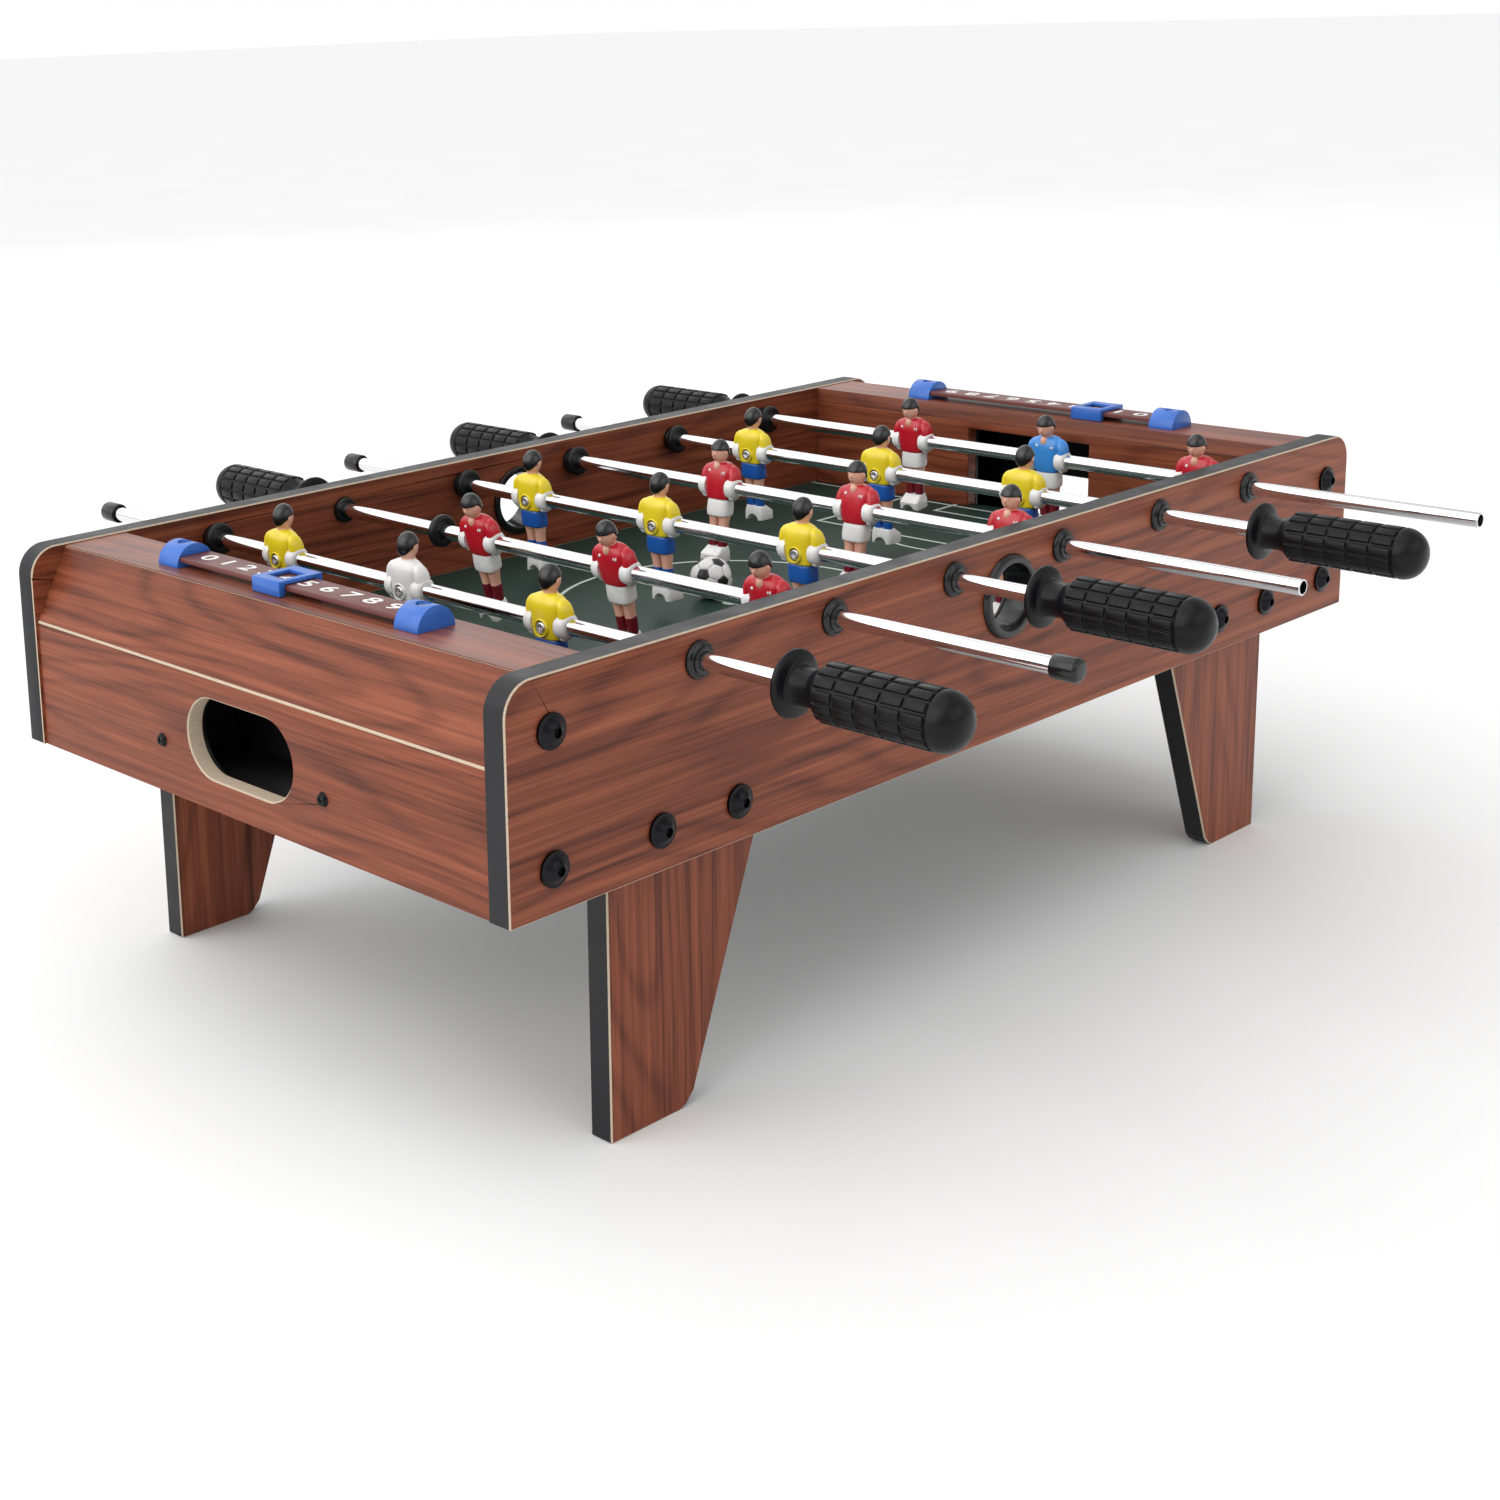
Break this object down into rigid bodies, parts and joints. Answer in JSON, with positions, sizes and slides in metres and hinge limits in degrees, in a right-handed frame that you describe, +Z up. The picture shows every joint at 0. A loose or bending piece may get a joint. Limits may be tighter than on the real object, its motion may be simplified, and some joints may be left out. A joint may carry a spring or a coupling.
{
  "type": "tabletop foosball table",
  "caption": "Wood-print foosball table on tapered legs, with sliding and turning rods of painted figures, ball ports, goal trays and score counters.",
  "frame": {"origin": "on the floor under the middle of the table's box", "axes": "+X along the table towards its right end, +Y across it away from the front panel, +Z up"},
  "size_m": [0.6866, 0.6151, 0.244],
  "materials": {
    "wood_print": "satin wood-print laminate with black edge banding",
    "field_print": "dark green printed field with white lines",
    "bare_wood": "bare",
    "black_plastic": "glossy moulded",
    "black_rubber": "satin",
    "black_steel": "black",
    "bright_steel": "plated",
    "blue_plastic": "glossy moulded",
    "maroon_plastic": "printed numbers on satin",
    "ball_plastic": "white with black panels",
    "rod_chrome": "polished",
    "yellow_figure": "painted",
    "red_figure": "painted"
  },
  "bodies": {
    "root": {"side_panel_front": "wood_print", "side_panel_back": "wood_print", "end_board_left": "wood_print", "end_board_right": "wood_print", "end_top_left": "wood_print", "end_top_right": "wood_print", "goal_wall_left": "wood_print", "goal_wall_right": "wood_print", "goal_tray_left": "black_plastic", "goal_tray_right": "black_plastic", "playfield": "field_print", "leg_front_left": "wood_print", "leg_front_right": "wood_print", "leg_back_left": "wood_print", "leg_back_right": "wood_print", "corner_blocks": "bare_wood", "panel_bolts": "black_steel", "panel_inserts": "bright_steel", "leg_bolts": "black_steel", "leg_nuts": "bright_steel", "tray_screws": "black_steel", "bushings": "black_plastic", "bumper_rings": "black_rubber", "ball_ports": "black_plastic", "score_blocks": "blue_plastic", "score_strips": "maroon_plastic", "score_screws": "bright_steel"},
    "rod_1_slide": {"rod_1_tube": "rod_chrome"},
    "rod_1_team": {"rod_1_handle": "black_plastic", "rod_1_figures": "yellow_figure", "rod_1_screws": "bright_steel", "rod_1_cap": "black_plastic"},
    "rod_2_slide": {"rod_2_tube": "rod_chrome", "bumper_ring_loose": "black_rubber"},
    "rod_2_team": {"rod_2_handle": "black_plastic", "rod_2_figures": "red_figure", "rod_2_screws": "bright_steel", "rod_2_cap": "black_plastic"},
    "rod_3_slide": {"rod_3_tube": "rod_chrome"},
    "rod_3_team": {"rod_3_handle": "black_plastic", "rod_3_figures": "yellow_figure", "rod_3_screws": "bright_steel", "rod_3_cap": "black_plastic"},
    "rod_4_slide": {"rod_4_tube": "rod_chrome"},
    "rod_4_team": {"rod_4_handle": "black_plastic", "rod_4_figures": "red_figure", "rod_4_screws": "bright_steel"},
    "rod_5_slide": {"rod_5_tube": "rod_chrome"},
    "rod_5_team": {"rod_5_handle": "black_plastic", "rod_5_figures": "yellow_figure", "rod_5_screws": "bright_steel", "rod_5_cap": "black_plastic"},
    "rod_6_slide": {"rod_6_tube": "rod_chrome"},
    "rod_6_team": {"rod_6_handle": "black_plastic", "rod_6_figures": "red_figure", "rod_6_screws": "bright_steel"},
    "score_left": {"score_slider_left": "blue_plastic"},
    "score_right": {"score_slider_right": "blue_plastic"},
    "ball": {"ball": "ball_plastic"}
  },
  "joints": [
    {"name": "rod_1_push", "type": "slide", "parent": "root", "child": "rod_1_slide", "axis": [0, 1, 0], "range_m": [-0.0614, 0.0418]},
    {"name": "rod_1_spin", "type": "hinge", "parent": "rod_1_slide", "child": "rod_1_team", "pos_m": [-0.22825, 0, 0.216], "axis": [0, 1, 0], "continuous": true},
    {"name": "rod_2_push", "type": "slide", "parent": "root", "child": "rod_2_slide", "axis": [0, 1, 0], "range_m": [-0.00826, 0.07894]},
    {"name": "rod_2_spin", "type": "hinge", "parent": "rod_2_slide", "child": "rod_2_team", "pos_m": [-0.13695, 0, 0.216], "axis": [0, 1, 0], "continuous": true},
    {"name": "rod_3_push", "type": "slide", "parent": "root", "child": "rod_3_slide", "axis": [0, 1, 0], "range_m": [-0.06398, 0.03922]},
    {"name": "rod_3_spin", "type": "hinge", "parent": "rod_3_slide", "child": "rod_3_team", "pos_m": [-0.04565, 0, 0.216], "axis": [0, 1, 0], "continuous": true},
    {"name": "rod_4_push", "type": "slide", "parent": "root", "child": "rod_4_slide", "axis": [0, 1, 0], "range_m": [-0.00103, 0.10217]},
    {"name": "rod_4_spin", "type": "hinge", "parent": "rod_4_slide", "child": "rod_4_team", "pos_m": [0.04565, 0, 0.216], "axis": [0, 1, 0], "continuous": true},
    {"name": "rod_5_push", "type": "slide", "parent": "root", "child": "rod_5_slide", "axis": [0, 1, 0], "range_m": [-0.05521, 0.04799]},
    {"name": "rod_5_spin", "type": "hinge", "parent": "rod_5_slide", "child": "rod_5_team", "pos_m": [0.13695, 0, 0.216], "axis": [0, 1, 0], "continuous": true},
    {"name": "rod_6_push", "type": "slide", "parent": "root", "child": "rod_6_slide", "axis": [0, 1, 0], "range_m": [-0.00052, 0.10268]},
    {"name": "rod_6_spin", "type": "hinge", "parent": "rod_6_slide", "child": "rod_6_team", "pos_m": [0.22825, 0, 0.216], "axis": [0, 1, 0], "continuous": true},
    {"name": "score_left_slide", "type": "slide", "parent": "root", "child": "score_left", "axis": [0, 1, 0], "range_m": [-0.078, 0.0624]},
    {"name": "score_right_slide", "type": "slide", "parent": "root", "child": "score_right", "axis": [0, 1, 0], "range_m": [-0.0312, 0.1092]},
    {"name": "ball_travel", "type": "slide", "parent": "root", "child": "ball", "axis": [0, 1, 0], "range_m": [-0.1704, 0.1424]}
  ]
}
